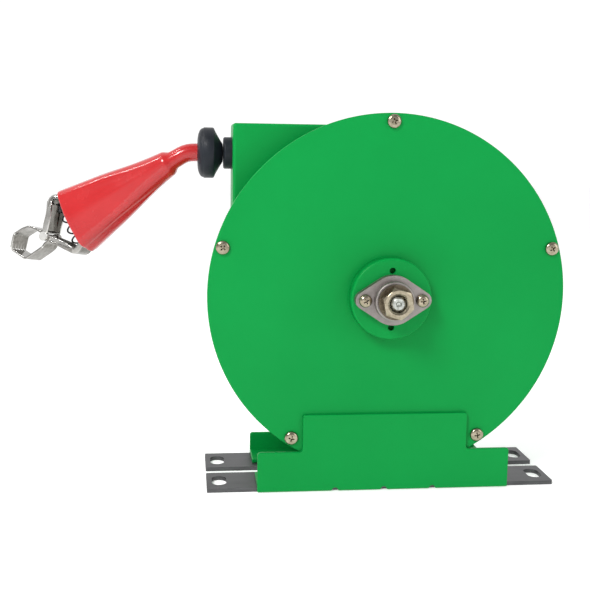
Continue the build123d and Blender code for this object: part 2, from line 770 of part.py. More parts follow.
tongue = [(30, 3.6), (36, 3.6), (44, 8.8), (60, 12.6)]
with BuildPart() as cable_lug:
    with BuildSketch(clip_section(24)):
        Circle(CABLE_D / 2 + 1.4)
        Circle(CABLE_D / 2, mode=Mode.SUBTRACT)
    extrude(amount=12)
    with BuildSketch(clip_plane(-5)):
        Polygon(*strip(tongue, 1.2), align=None)
    extrude(amount=-10)
    with BuildSketch(clip_section(20)):
        Circle(CABLE_D / 2)
    extrude(amount=14, mode=Mode.SUBTRACT)
    lug_hole = Plane(origin=CLIP.from_local_coords((52, 0, 6)), z_dir=CLIP.z_dir)
    with BuildSketch(lug_hole):
        Circle(2.0)
    extrude(amount=12, mode=Mode.SUBTRACT)
save(cable_lug.part, "cable_lug")

with BuildPart() as lug_screw:
    with BuildSketch(Plane(origin=CLIP.from_local_coords((52, 0, 8.2)), z_dir=CLIP.z_dir)):
        Circle(2.0)
    extrude(amount=6.8)
    with BuildSketch(Plane(origin=CLIP.from_local_coords((52, 0, 9.75)), z_dir=CLIP.z_dir)):
        Circle(3.6)
    extrude(amount=-2.2)
save(lug_screw.part, "lug_screw")
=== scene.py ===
"""Look of the spring-return grounding cable reel. Metres, in the CAD frame."""

import json
import math

import bmesh
import bpy
from mathutils import Matrix, Vector


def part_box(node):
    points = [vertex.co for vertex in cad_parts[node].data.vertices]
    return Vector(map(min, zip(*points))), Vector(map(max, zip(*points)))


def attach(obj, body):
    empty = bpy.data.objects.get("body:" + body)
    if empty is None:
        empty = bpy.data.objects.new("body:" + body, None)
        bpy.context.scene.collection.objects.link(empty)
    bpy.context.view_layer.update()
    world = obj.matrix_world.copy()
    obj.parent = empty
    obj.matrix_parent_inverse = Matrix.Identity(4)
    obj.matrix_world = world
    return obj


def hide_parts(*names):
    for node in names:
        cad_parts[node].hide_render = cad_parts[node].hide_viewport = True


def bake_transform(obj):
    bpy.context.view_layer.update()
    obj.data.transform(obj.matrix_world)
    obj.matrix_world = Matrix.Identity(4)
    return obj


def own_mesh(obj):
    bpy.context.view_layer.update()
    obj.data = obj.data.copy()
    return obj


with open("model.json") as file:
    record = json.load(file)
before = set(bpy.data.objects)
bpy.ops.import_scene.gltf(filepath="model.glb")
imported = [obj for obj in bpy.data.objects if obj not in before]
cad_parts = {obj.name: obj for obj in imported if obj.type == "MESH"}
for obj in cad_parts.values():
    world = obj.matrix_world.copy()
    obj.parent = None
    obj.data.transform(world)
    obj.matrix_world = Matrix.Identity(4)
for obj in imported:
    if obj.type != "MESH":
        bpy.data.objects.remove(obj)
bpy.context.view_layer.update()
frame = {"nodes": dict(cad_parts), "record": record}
scene = bpy.context.scene
MM = 0.001


# ------------------------------------------------------------------ node helpers
def new_material(name):
    mat = bpy.data.materials.new(name)
    mat.use_nodes = True
    tree = mat.node_tree
    bsdf = tree.nodes["Principled BSDF"]
    return mat, tree, bsdf


def node(tree, kind, **values):
    item = tree.nodes.new(kind)
    for key, value in values.items():
        if key in item.inputs:
            item.inputs[key].default_value = value
        else:
            setattr(item, key, value)
    return item


def coords(tree, scale=(1, 1, 1)):
    place = node(tree, "ShaderNodeTexCoord")
    mapping = node(tree, "ShaderNodeMapping")
    mapping.inputs["Scale"].default_value = scale
    tree.links.new(place.outputs["Object"], mapping.inputs["Vector"])
    return mapping.outputs["Vector"]


def noise(tree, vector, scale, detail=3.0, rough=0.55):
    item = node(tree, "ShaderNodeTexNoise", Scale=scale, Detail=detail, Roughness=rough)
    tree.links.new(vector, item.inputs["Vector"])
    return item.outputs["Fac"]


def ramp(tree, fac, stops):
    item = node(tree, "ShaderNodeValToRGB")
    while len(item.color_ramp.elements) < len(stops):
        item.color_ramp.elements.new(0.5)
    for element, (place, colour) in zip(item.color_ramp.elements, stops):
        element.position = place
        element.color = (*colour, 1.0)
    tree.links.new(fac, item.inputs["Fac"])
    return item.outputs["Color"]


def grey_ramp(tree, fac, low, high, a=0.3, b=0.7):
    """Grey from low at place a to high at place b."""
    return ramp(tree, fac, [(a, (low, low, low)), (b, (high, high, high))])


def mix(tree, fac, one, two):
    """Colour one where fac is 0 and two where it is 1; each is a socket or a plain colour."""
    item = node(tree, "ShaderNodeMix", data_type="RGBA")
    tree.links.new(fac, item.inputs[0])
    for socket, value in ((item.inputs[6], one), (item.inputs[7], two)):
        if isinstance(value, tuple):
            socket.default_value = (*value, 1.0)
        else:
            tree.links.new(value, socket)
    return item.outputs[2]


def bump(tree, height, strength, distance, bsdf, chain=None):
    """Bump on the shader's normal, on top of the bump in chain when there is one."""
    item = node(tree, "ShaderNodeBump", Strength=strength, Distance=distance)
    tree.links.new(height, item.inputs["Height"])
    if chain is not None:
        tree.links.new(chain, item.inputs["Normal"])
    tree.links.new(item.outputs["Normal"], bsdf.inputs["Normal"])
    return item.outputs["Normal"]


# ------------------------------------------------------------------ materials
def powder_coat():
    """Even green paint with a fine orange peel."""
    mat, tree, bsdf = new_material("green_powder_coat")
    place = coords(tree)
    broad = noise(tree, place, 9.0, 4.0)
    base = ramp(tree, broad, [(0.3, (0.0010, 0.235, 0.042)), (0.7, (0.0016, 0.262, 0.048))])
    speck = noise(tree, place, 900.0, 1.0)
    speck_mask = ramp(tree, speck, [(0.70, (0, 0, 0)), (0.76, (0.35, 0.35, 0.35))])
    colour = mix(tree, speck_mask, base, (0.001, 0.17, 0.03))
    tree.links.new(colour, bsdf.inputs["Base Color"])
    tree.links.new(grey_ramp(tree, noise(tree, place, 30.0), 0.30, 0.42), bsdf.inputs["Roughness"])
    bsdf.inputs["Specular IOR Level"].default_value = 0.10
    first = bump(tree, noise(tree, place, 420.0, 2.0), 0.10, 0.0006, bsdf)
    bump(tree, noise(tree, place, 60.0, 2.0), 0.05, 0.001, bsdf, first)
    return mat


def metal(name, dark, light, roughness, stretch=(1, 1, 1), grain=350.0, strength=0.12, edge=None):
    """Metal between two tones, with dull patches and, if edge is given, a painted highlight in that colour on
    its sharp corners.
    """
    mat, tree, bsdf = new_material(name)
    place = coords(tree, stretch)
    flow = noise(tree, place, grain, 5.0, 0.65)
    cloud = noise(tree, coords(tree), 38.0, 3.0)
    base = ramp(tree, flow, [(0.3, dark), (0.7, light)])
    dull_patches_and_edge_highlight = mix(tree, grey_ramp(tree, cloud, 0.0, 0.35, 0.45, 0.75), base, tuple(c * 0.62 for c in dark))
    # painted highlight: where the mesh is sharp (high pointiness) the colour turns to the bright edge colour,
    # as if light caught the rims
    if edge:
        shape = node(tree, "ShaderNodeNewGeometry")
        corner = ramp(tree, shape.outputs["Pointiness"], [(0.525, (0, 0, 0)), (0.60, (1, 1, 1))])
        dull_patches_and_edge_highlight = mix(tree, corner, dull_patches_and_edge_highlight, edge)
    tree.links.new(dull_patches_and_edge_highlight, bsdf.inputs["Base Color"])
    bsdf.inputs["Metallic"].default_value = 1.0
    tree.links.new(grey_ramp(tree, flow, *roughness), bsdf.inputs["Roughness"])
    bump(tree, flow, strength, 0.0004, bsdf)
    return mat


def rubber():
    mat, tree, bsdf = new_material("black_moulded_rubber")
    place = coords(tree)
    tones = [(0.3, (0.007, 0.009, 0.013)), (0.75, (0.014, 0.018, 0.025))]
    base = ramp(tree, noise(tree, place, 60.0, 4.0), tones)
    tree.links.new(base, bsdf.inputs["Base Color"])
    tree.links.new(grey_ramp(tree, noise(tree, place, 140.0), 0.38, 0.55), bsdf.inputs["Roughness"])
    bsdf.inputs["Specular IOR Level"].default_value = 0.22
    bump(tree, noise(tree, place, 900.0, 3.0), 0.22, 0.0004, bsdf)
    return mat


def vinyl():
    mat, tree, bsdf = new_material("red_dipped_vinyl")
    place = coords(tree)
    tones = [(0.3, (0.400, 0.011, 0.013)), (0.75, (0.460, 0.016, 0.018))]
    base = ramp(tree, noise(tree, place, 24.0, 3.0), tones)
    tree.links.new(base, bsdf.inputs["Base Color"])
    tree.links.new(grey_ramp(tree, noise(tree, place, 70.0), 0.20, 0.30), bsdf.inputs["Roughness"])
    bsdf.inputs["Specular IOR Level"].default_value = 0.24
    bsdf.inputs["Subsurface Weight"].default_value = 0.04
    bsdf.inputs["Subsurface Radius"].default_value = (0.004, 0.0012, 0.001)
    bsdf.inputs["Subsurface Scale"].default_value = 0.6
    bsdf.inputs["Coat Weight"].default_value = 0.65
    bsdf.inputs["Coat Roughness"].default_value = 0.06
    first = bump(tree, noise(tree, place, 90.0, 2.0), 0.03, 0.0008, bsdf)
    bump(tree, noise(tree, place, 700.0, 2.0), 0.04, 0.0003, bsdf, first)
    return mat


def galvanised():
    mat, tree, bsdf = new_material("galvanised_sheet")
    place = coords(tree)
    cells = node(tree, "ShaderNodeTexVoronoi", Scale=110.0)
    tree.links.new(place, cells.inputs["Vector"])
    base = ramp(tree, cells.outputs["Distance"], [(0.0, (0.42, 0.44, 0.46)), (0.8, (0.62, 0.64, 0.66))])
    tree.links.new(base, bsdf.inputs["Base Color"])
    bsdf.inputs["Metallic"].default_value = 1.0
    tree.links.new(grey_ramp(tree, noise(tree, place, 130.0), 0.32, 0.5), bsdf.inputs["Roughness"])
    bump(tree, cells.outputs["Distance"], 0.08, 0.0004, bsdf)
    return mat


def jacket():
    mat, tree, bsdf = new_material("cable_jacket")
    place = coords(tree)
    tones = [(0.3, (0.030, 0.034, 0.036)), (0.7, (0.055, 0.060, 0.062))]
    base = ramp(tree, noise(tree, place, 120.0, 3.0), tones)
    tree.links.new(base, bsdf.inputs["Base Color"])
    tree.links.new(grey_ramp(tree, noise(tree, place, 200.0), 0.32, 0.45), bsdf.inputs["Roughness"])
    bump(tree, noise(tree, place, 800.0), 0.15, 0.0003, bsdf)
    return mat


GREEN = powder_coat()
BAR_STEEL = metal(
    "mill_steel", (0.085, 0.085, 0.088), (0.150, 0.150, 0.155), (0.38, 0.58),
    stretch=(0.12, 1, 1), grain=300.0, strength=0.2,
)
SHAFT_STEEL = metal(
    "turned_steel", (0.24, 0.25, 0.23), (0.66, 0.68, 0.64), (0.20, 0.40),
    stretch=(1, 0.2, 1), grain=420.0, strength=0.35,
)
ZINC = metal("yellow_zinc", (0.24, 0.205, 0.14), (0.46, 0.41, 0.31), (0.14, 0.28))
WASHER = metal("dull_zinc_washer", (0.085, 0.070, 0.050), (0.190, 0.160, 0.115), (0.24, 0.40))
CAST = metal(
    "cast_zinc", (0.24, 0.215, 0.205), (0.36, 0.33, 0.315), (0.40, 0.58),
    stretch=(0.35, 1, 0.35), grain=700.0, strength=0.25,
)
# edge paints a near-white highlight onto the sharp corners of the nickel plate
NICKEL = metal(
    "nickel_plate", (0.12, 0.115, 0.10), (0.30, 0.285, 0.265), (0.12, 0.26),
    grain=300.0, edge=(0.95, 0.94, 0.91),
)
SPRING = metal("dark_spring_steel", (0.022, 0.022, 0.024), (0.060, 0.060, 0.064), (0.25, 0.42), grain=500.0)
BRONZE = metal("sintered_bronze", (0.38, 0.24, 0.11), (0.55, 0.36, 0.18), (0.35, 0.55), grain=600.0)
RUBBER = rubber()
RED = vinyl()
GALV = galvanised()
JACKET = jacket()

BY_SLOT = {
    "green_paint": GREEN,
    "bare_steel": SHAFT_STEEL,
    "zinc_hardware": ZINC,
    "black_rubber": RUBBER,
    "red_vinyl": RED,
    "nickel_steel": NICKEL,
    "spring_steel": SPRING,
    "galvanised": GALV,
    "bronze": BRONZE,
    "cable_jacket": JACKET,
}
BY_NODE = {
    "front_washer": WASHER,
    "rear_washer": WASHER,
    "clip_pin": NICKEL,
    "front_foot_bar": BAR_STEEL,
    "rear_foot_bar": BAR_STEEL,
    "shaft_flange": CAST,
    "fixed_shaft": SHAFT_STEEL,
}
FLAT_ANGLE = math.radians(28)
for part in frame["record"]["subparts"]:
    name = part["node"]
    obj = frame["nodes"][name]
    obj.data.materials.clear()
    obj.data.materials.append(BY_NODE.get(name, BY_SLOT[part["material_slot"]]))
    split = obj.modifiers.new("sharp_edges", "EDGE_SPLIT")
    split.split_angle = FLAT_ANGLE
    split.use_edge_sharp = False
    obj.modifiers.new("flat_faces", "WEIGHTED_NORMAL")


# ------------------------------------------------------------------ mesh helpers
def add_piece(name, verts, faces, mat, body, nodes, smooth):
    """A mesh that rides on body and replaces the nodes; edges sharper than smooth degrees stay sharp."""
    mesh = bpy.data.meshes.new(name)
    mesh.from_pydata([tuple(v) for v in verts], [], faces)
    build = bmesh.new()
    build.from_mesh(mesh)
    bmesh.ops.remove_doubles(build, verts=build.verts, dist=1e-6)
    bmesh.ops.recalc_face_normals(build, faces=build.faces)
    build.to_mesh(mesh)
    build.free()
    mesh.materials.append(mat)
    mesh.shade_smooth()
    mesh.set_sharp_from_angle(angle=math.radians(smooth))
    obj = bpy.data.objects.new(name, mesh)
    scene.collection.objects.link(obj)
    if body:
        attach(obj, body)
    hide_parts(*nodes)
    return obj


def lathe(profile, steps=96):
    """Turn a profile of (radius, height) about +Z; heights rise along Z."""
    verts, faces, rings = [], [], []
    for radius, height in profile:
        if radius < 1e-9:
            rings.append([len(verts)])
            verts.append(Vector((0, 0, height)))
            continue
        ring = []
        for i in range(steps):
            angle = 2 * math.pi * i / steps
            ring.append(len(verts))
            verts.append(Vector((radius * math.cos(angle), radius * math.sin(angle), height)))
        rings.append(ring)
    for low, high in zip(rings, rings[1:]):
        for i in range(steps):
            j = (i + 1) % steps
            if len(low) == 1:
                faces.append((low[0], high[j], high[i]))
            elif len(high) == 1:
                faces.append((low[i], low[j], high[0]))
            else:
                faces.append((low[i], low[j], high[j], high[i]))
    return verts, faces


def placed(parts):
    """Several (verts, faces, matrix) as one."""
    all_verts, all_faces = [], []
    for verts, faces, matrix in parts:
        start = len(all_verts)
        all_verts += [matrix @ v for v in verts]
        all_faces += [tuple(i + start for i in face) for face in faces]
    return all_verts, all_faces


def frame_matrix(origin, x_axis, z_axis):
    """Matrix that puts a piece's +X and +Z along the two axes."""
    z = Vector(z_axis).normalized()
    x = Vector(x_axis)
    x = (x - z * x.dot(z)).normalized()
    y = z.cross(x)
    rows = Matrix((x, y, z)).transposed().to_4x4()
    return Matrix.Translation(Vector(origin)) @ rows


def edge_bevel(obj, width, segments):
    """Small rounding of every corner sharper than 50 degrees."""
    bevel = obj.modifiers.new("edge", "BEVEL")
    bevel.width = width
    bevel.segments = segments
    bevel.limit_method = "ANGLE"
    bevel.angle_limit = math.radians(50)


def boolean_cut(verts, faces, cutter_verts, cutter_faces):
    """verts and faces with the cutter taken away."""
    objs = []
    for v, f in ((verts, faces), (cutter_verts, cutter_faces)):
        mesh = bpy.data.meshes.new("cut")
        mesh.from_pydata([tuple(p) for p in v], [], f)
        build = bmesh.new()
        build.from_mesh(mesh)
        bmesh.ops.recalc_face_normals(build, faces=build.faces)
        build.to_mesh(mesh)
        build.free()
        obj = bpy.data.objects.new("cut", mesh)
        scene.collection.objects.link(obj)
        objs.append(obj)
    modifier = objs[0].modifiers.new("cut", "BOOLEAN")
    modifier.operation = "DIFFERENCE"
    modifier.object = objs[1]
    modifier.solver = "EXACT"
    depsgraph = bpy.context.evaluated_depsgraph_get()
    result = bpy.data.meshes.new_from_object(objs[0].evaluated_get(depsgraph))
    out_verts = [v.co.copy() for v in result.vertices]
    out_faces = [tuple(p.vertices) for p in result.polygons]
    for obj in objs:
        bpy.data.objects.remove(obj, do_unlink=True)
    return out_verts, out_faces


# ------------------------------------------------------------------ screws
def cross_cutter(reach, width, top, depth):
    """Cross recess: two tapered bars, wider at the top."""
    verts, faces = [], []
    outline = []
    for k in range(4):
        angle = k * math.pi / 2
        out = Vector((math.cos(angle), math.sin(angle), 0))
        side = Vector((-out.y, out.x, 0))
        outline.append((out * reach - side * width, "tip"))
        outline.append((out * reach + side * width, "tip"))
        outline.append((out * width + side * width, "root"))
    for scale, z in ((1.0, top), (0.35, top - depth)):
        for point, kind in outline:
            k = scale if kind == "tip" else (1.0 if scale == 1.0 else 0.55)
            verts.append(Vector((point.x * k, point.y * k, z)))
    count = len(outline)
    faces.append(tuple(range(count)))
    faces.append(tuple(range(2 * count - 1, count - 1, -1)))
    for i in range(count):
        j = (i + 1) % count
        faces.append((i, count + i, count + j, j))
    return verts, faces


def pan_screw(head_r, head_h, shank_r, shank_l):
    """Pan-head screw with a cross recess, its head rising along +Z from z = 0."""
    profile = [(0.0, -shank_l), (shank_r, -shank_l), (shank_r, 0.0), (head_r - 0.0002, 0.0), (head_r, 0.0003)]
    for i in range(9):
        angle = math.radians(90 * i / 8)
        radius = head_r * (0.42 + 0.58 * math.cos(angle))
        profile.append((radius, head_h * (0.38 + 0.55 * math.sin(angle))))
    profile.append((head_r * 0.2, head_h * 0.985))
    profile.append((0.0, head_h))
    verts, faces = lathe(profile, 48)
    cut_v, cut_f = cross_cutter(head_r * 0.56, head_r * 0.115, head_h * 1.2, head_h * 0.85)
    return boolean_cut(verts, faces, cut_v, cut_f)


SHAFT_Z = 0.138
COVER_Y = -0.039
COVER_SCREW_R = 0.1194
FLANGE_SCREW_X = 0.0195
FLANGE_Y = COVER_Y - 0.016


def screw_set(name, screw, spots, replaced):
    """One screw at each (x, y, z) spot, its recess turned by the given degrees."""
    parts = []
    for x, y, z, spin in spots:
        turn = Matrix.Rotation(math.radians(spin), 4, "Z")
        parts.append((*screw, frame_matrix((x, y, z), (1, 0, 0), (0, -1, 0)) @ turn))
    add_piece(name, *placed(parts), ZINC, "housing", [replaced], 35)


spots = []
for degrees, spin in ((90.0, 20), (163.5, 48), (236.2, 75), (303.8, 12), (16.5, 35)):
    angle = math.radians(degrees)
    x, z = COVER_SCREW_R * math.cos(angle), SHAFT_Z + COVER_SCREW_R * math.sin(angle)
    spots.append((x, COVER_Y, z, spin))
screw_set("cover_screw_set", pan_screw(0.00475, 0.0030, 0.0025, 0.009), spots, "cover_screws")
spots = [(-FLANGE_SCREW_X, FLANGE_Y, SHAFT_Z, 30), (FLANGE_SCREW_X, FLANGE_Y, SHAFT_Z, 8)]
screw_set("flange_screw_set", pan_screw(0.0044, 0.0042, 0.0022, 0.012), spots, "flange_screws")


# ------------------------------------------------------------------ painted sheet pieces
OUT = frame_matrix((0, COVER_Y, SHAFT_Z), (1, 0, 0), (0, -1, 0))
SHELL_REAR_Y = 0.039
COVER_R, COVER_T, COVER_BORE = 0.125, 0.0015, 0.00785
BOSS_R, BOSS_H, BOSS_BORE = 0.028, 0.010, 0.0069
BOSS_HOLE_R, BOSS_HOLE_AT = 0.0022, 0.0195


def turned_rim(radius, top, edge, steps=6):
    """Points of a rounded rim from the face at top out to the full radius."""
    points = [(radius - edge - 0.0008, top), (radius - edge - 0.0001, top)]
    for k in range(steps + 1):
        angle = math.pi / 2 * k / steps
        points.append((radius - edge * (1 - math.sin(angle)), top - edge * (1 - math.cos(angle))))
    return points


# extra rings across the flat face keep the shading even
profile = [(COVER_BORE, -COVER_T), (COVER_BORE, -0.0001)]
profile += [(radius, 0.0) for radius in (COVER_BORE, 0.020, 0.040, 0.070, 0.100, 0.1185)]
profile += turned_rim(COVER_R, 0.0, 0.0006)
profile += [(COVER_R, -0.0013), (0.1248, -COVER_T), (0.1240, -COVER_T), (COVER_BORE, -COVER_T)]
cover_v, cover_f = lathe(profile, 240)
add_piece("front_cover_disc", *placed([(cover_v, cover_f, OUT)]), GREEN, "housing", ["front_cover"], 30)


def boss_piece(name, base, replaced, holes):
    """Turned boss with a rounded rim, rising along +Z of its base matrix."""
    profile = [(BOSS_BORE, 0.0), (BOSS_BORE, 0.0099), (0.0070, BOSS_H), (0.0090, BOSS_H), (0.018, BOSS_H)]
    profile += turned_rim(BOSS_R, BOSS_H, 0.0016, 8)
    profile += [(BOSS_R, 0.0002), (0.0279, 0.0), (BOSS_BORE, 0.0)]
    verts, faces = lathe(profile, 144)
    if holes:
        # the cutter needs a closed body, so the profile's two ends are merged first
        build = bmesh.new()
        for point in verts:
            build.verts.new(point)
        build.verts.ensure_lookup_table()
        for face in faces:
            build.faces.new([build.verts[i] for i in face])
        bmesh.ops.remove_doubles(build, verts=build.verts, dist=1e-7)
        build.verts.index_update()
        verts = [v.co.copy() for v in build.verts]
        faces = [tuple(v.index for v in f.verts) for f in build.faces]
        build.free()
        for side in (-1, 1):
            low, high = BOSS_H - 0.006, BOSS_H + 0.002
            hole, sides = lathe([(0.0, low), (BOSS_HOLE_R, low), (BOSS_HOLE_R, high), (0.0, high)], 24)
            hole = [v + Vector((0, side * BOSS_HOLE_AT, 0)) for v in hole]
            verts, faces = boolean_cut(verts, faces, hole, sides)
    add_piece(name, *placed([(verts, faces, base)]), GREEN, "housing", [replaced], 30)


boss_piece("front_boss_turned", OUT, "front_boss", True)
rear_base = frame_matrix((0, SHELL_REAR_Y, SHAFT_Z), (1, 0, 0), (0, 1, 0))
boss_piece("rear_boss_turned", rear_base, "rear_boss", False)


BRACKET_HALF, BRACKET_TAB = 0.090, 0.0585
BRACKET_BOTTOM, BRACKET_TOP, BRACKET_T = 0.0004, 0.0555, 0.003
BRACKET_CORNER_R = 0.002
LEDGE_HALF, LEDGE_DEPTH, BAR_TOP = 0.0899, 0.025, 0.003
NOTCH_R, NOTCH_XS = 0.0022, (-0.035, 0.0, 0.035)


def plate_outline(step, steps=5):
    """Outline of the stepped plate with rounded corners, anticlockwise from the lower right."""
    radius = BRACKET_CORNER_R
    corners = ((BRACKET_HALF, step, False), (BRACKET_TAB, step, True), (BRACKET_TAB, BRACKET_TOP, False))
    points = [(BRACKET_HALF, BRACKET_BOTTOM)]
    for x, z, turn_in in corners:
        for k in range(steps + 1):
            angle = math.pi / 2 * k / steps
            if turn_in:
                points.append((x + radius * (1 - math.sin(angle)), z + radius * (1 - math.cos(angle))))
            else:
                points.append((x - radius * (1 - math.cos(angle)), z - radius * (1 - math.sin(angle))))
    return points + [(-x, z) for x, z in points[::-1]]


def notches():
    """Half-round notches along the plate's bottom edge, from left to right."""
    points = []
    for centre in NOTCH_XS:
        for k in range(9):
            angle = math.pi - math.pi * k / 8
            points.append((centre + NOTCH_R * math.cos(angle), BRACKET_BOTTOM + NOTCH_R * math.sin(angle)))
    return points


def bracket_piece(name, side, step, replaced):
    """Plate beyond the bar's edge and the ledge behind it; side is -1 at the front, +1 at the rear."""
    inner = side * SHELL_REAR_Y
    outer = side * (SHELL_REAR_Y + BRACKET_T)
    outline = plate_outline(step) + (notches() if side < 0 else [])
    count = len(outline)
    verts = [Vector((x, outer, z)) for x, z in outline] + [Vector((x, inner, z)) for x, z in outline]
    faces = [tuple(range(count)), tuple(range(2 * count - 1, count - 1, -1))]
    faces += [(i, (i + 1) % count, count + (i + 1) % count, count + i) for i in range(count)]
    ledge = [
        Vector((x, y, z))
        for x in (-LEDGE_HALF, LEDGE_HALF)
        for y in (inner + side * 0.001, inner - side * LEDGE_DEPTH)
        for z in (BAR_TOP, BAR_TOP + BRACKET_T)
    ]
    ledge_faces = [(0, 1, 3, 2), (4, 6, 7, 5), (0, 4, 5, 1), (2, 3, 7, 6), (0, 2, 6, 4), (1, 5, 7, 3)]
    same = Matrix.Identity(4)
    verts, faces = placed([(verts, faces, same), (ledge, ledge_faces, same)])
    obj = add_piece(name, verts, faces, GREEN, "housing", [replaced], 30)
    edge_bevel(obj, 0.0007, 3)
    obj.modifiers.new("flat_faces", "WEIGHTED_NORMAL")


bracket_piece("front_bracket_plate", -1, 0.029, "front_bracket")
bracket_piece("rear_bracket_plate", 1, 0.019, "rear_bracket")

# ------------------------------------------------------------------ shaft
shaft_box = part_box("fixed_shaft")
front_end, rear_end = -shaft_box[0][1], -shaft_box[1][1]
THREAD_L, THREAD_PITCH = 0.026, 0.0018
THREAD_R, THREAD_ROOT = 0.00635, 0.00575


def threaded(start, sign):
    """Ridges of a thread, from start towards sign, as (radius, height) pairs."""
    points = []
    for k in range(int(THREAD_L / THREAD_PITCH)):
        points.append((THREAD_R, start + sign * THREAD_PITCH * k))
        points.append((THREAD_ROOT, start + sign * THREAD_PITCH * (k + 0.5)))
    return points


profile = [(0.0, rear_end), (0.0040, rear_end), (0.0056, rear_end + 0.0018)]
profile += threaded(rear_end + 0.0022, 1)
profile += threaded(front_end - 0.0030, -1)[::-1]
profile += [(0.0058, front_end - 0.0026), (0.0041, front_end - 0.0003), (0.0037, front_end)]
profile += [(0.0020, front_end), (0.0011, front_end - 0.0012), (0.0, front_end - 0.0016)]
shaft_v, shaft_f = lathe(profile, 72)
axis = frame_matrix((0, 0, SHAFT_Z), (1, 0, 0), (0, -1, 0))
add_piece("turned_shaft", *placed([(shaft_v, shaft_f, axis)]), SHAFT_STEEL, "housing", ["fixed_shaft"], 25)

# ------------------------------------------------------------------ hexagon nuts
def hex_nut(across, height, bore, steps=144):
    """Hexagon nut with chamfered corners and a countersunk thread, base at z = 0."""
    rings = []
    start = across / 2 * 0.97

    def hexagon(angle):
        sector = (angle + math.pi / 6) % (math.pi / 3) - math.pi / 6
        return across / 2 / math.cos(sector)

    angles = [2 * math.pi * i / steps for i in range(steps)]
    slope = math.tan(math.radians(30))
    rings.append([(bore * 0.96, 0.0009) for _ in angles])
    rings.append([(bore + 0.0006, 0.0) for _ in angles])
    rings.append([(start, 0.0) for _ in angles])
    rings.append([(hexagon(a), (hexagon(a) - start) * slope) for a in angles])
    rings.append([(hexagon(a), height - (hexagon(a) - start) * slope) for a in angles])
    rings.append([(start, height) for _ in angles])
    rings.append([(bore + 0.0009, height) for _ in angles])
    rings.append([(bore * 0.96, height - 0.0012) for _ in angles])
    turns = 8
    low, high = 0.0009, height - 0.0012
    for k in range(2 * turns, -1, -1):
        depth = bore * (0.96 if k % 2 == 0 else 1.03)
        rings.append([(depth, low + (high - low) * k / (2 * turns)) for _ in angles])
    verts = [
        Vector((r * math.cos(a), r * math.sin(a), z)) for ring in rings for (r, z), a in zip(ring, angles)
    ]
    faces = []
    count = len(rings)
    for i in range(count - 1):
        for j in range(steps):
            k = (j + 1) % steps
            faces.append((i * steps + j, i * steps + k, (i + 1) * steps + k, (i + 1) * steps + j))
    return verts, faces


NUT_ACROSS, NUT_H = 0.019, 0.0085
nut_v, nut_f = hex_nut(NUT_ACROSS, NUT_H, THREAD_R)
turn = Matrix.Rotation(math.radians(12), 4, "Z")
front = frame_matrix((0, COVER_Y - 0.024, SHAFT_Z), (1, 0, 0), (0, -1, 0)) @ turn
add_piece("front_hex_nut", *placed([(nut_v, nut_f, front)]), ZINC, "housing", ["front_nut"], 25)
rear = frame_matrix((0, 0.051, SHAFT_Z), (1, 0, 0), (0, 1, 0)) @ turn
add_piece("rear_hex_nut", *placed([(nut_v, nut_f, rear)]), ZINC, "housing", ["rear_nut"], 25)

# ------------------------------------------------------------------ cable stop
CABLE_Z = 0.2345
STOP_FACE_X = -0.131
# a domed outer face, a rounded shoulder, a short rim, and a taper to the cable hole
profile = [(0.0, -0.0003)]
for k in range(1, 9):
    share = k / 8
    profile.append((0.0078 * share, -0.0003 + 0.0003 * share**2))
for k in range(1, 11):
    share = k / 10
    angle = share * math.pi / 2
    profile.append((0.0078 + 0.0091 * math.sin(angle), 0.0038 * (1 - math.cos(angle))))
profile += [(0.0172, 0.0042), (0.0175, 0.0048), (0.0175, 0.0105), (0.0173, 0.0111), (0.0168, 0.0116)]
for k in range(1, 9):
    share = k / 8
    profile.append((0.0168 - 0.0100 * share, 0.0116 + 0.0056 * share**1.15))
profile += [(0.0062, 0.0175), (0.0035, 0.0175), (0.0031, 0.0170), (0.0031, 0.006), (0.0, 0.006)]
stop_v, stop_f = lathe(profile, 112)
place = Matrix.Translation(Vector((STOP_FACE_X, 0, CABLE_Z))) @ Matrix.Rotation(math.radians(90), 4, "Y")
add_piece("cable_stop_body", *placed([(stop_v, stop_f, place)]), RUBBER, "cable_end", ["cable_stop"], 30)

# ------------------------------------------------------------------ clip frame
# the boot hangs down, points a little away from the front and is twisted about its own length
down, yaw, twist = math.radians(31.0), math.radians(20.5), math.radians(11.0)
ALONG = Vector((-math.cos(down) * math.cos(yaw), math.cos(down) * math.sin(yaw), -math.sin(down)))
UPRIGHT = Vector((-math.sin(down) * math.cos(yaw), math.sin(down) * math.sin(yaw), math.cos(down)))
LATERAL = UPRIGHT.cross(ALONG)
CLIP_Z = UPRIGHT * math.cos(twist) - LATERAL * math.sin(twist)
CLIP_Y = CLIP_Z.cross(ALONG)
SHOULDER = Vector((-0.1490, 0, 0.2282))


def clip(x, y, z):
    """A point of the clip's own frame, given in millimetres."""
    return SHOULDER + (ALONG * x + CLIP_Y * y + CLIP_Z * z) * MM


# ------------------------------------------------------------------ boot
BOOT_L = 85.0
BOOT_WALL = 1.6
NECK_R = 6.25
SHOULDER_R = 8.7


def rounded_ring(half_w, half_h, corner, crown=0.0, per=10, side=6):
    """Closed ring of (lateral, upright) points of a rounded rectangle whose sides swell by crown."""
    points = []
    centres = ((1, 1), (-1, 1), (-1, -1), (1, -1))
    for quadrant, (sx, sy) in enumerate(centres):
        cx, cy = sx * (half_w - corner), sy * (half_h - corner)
        for i in range(per + 1):
            angle = math.pi / 2 * (quadrant + i / per)
            points.append((cx + corner * math.cos(angle), cy + corner * math.sin(angle)))
        nx, ny = centres[(quadrant + 1) % 4]
        end = math.pi / 2 * (quadrant + 1)
        x0, y0 = cx + corner * math.cos(end), cy + corner * math.sin(end)
        x1 = nx * (half_w - corner) + corner * math.cos(end)
        y1 = ny * (half_h - corner) + corner * math.sin(end)
        for i in range(1, side):
            share = i / side
            swell = crown * math.sin(math.pi * share)
            x, y = x0 + (x1 - x0) * share, y0 + (y1 - y0) * share
            points.append((x + math.cos(end) * swell, y + math.sin(end) * swell))
    return points


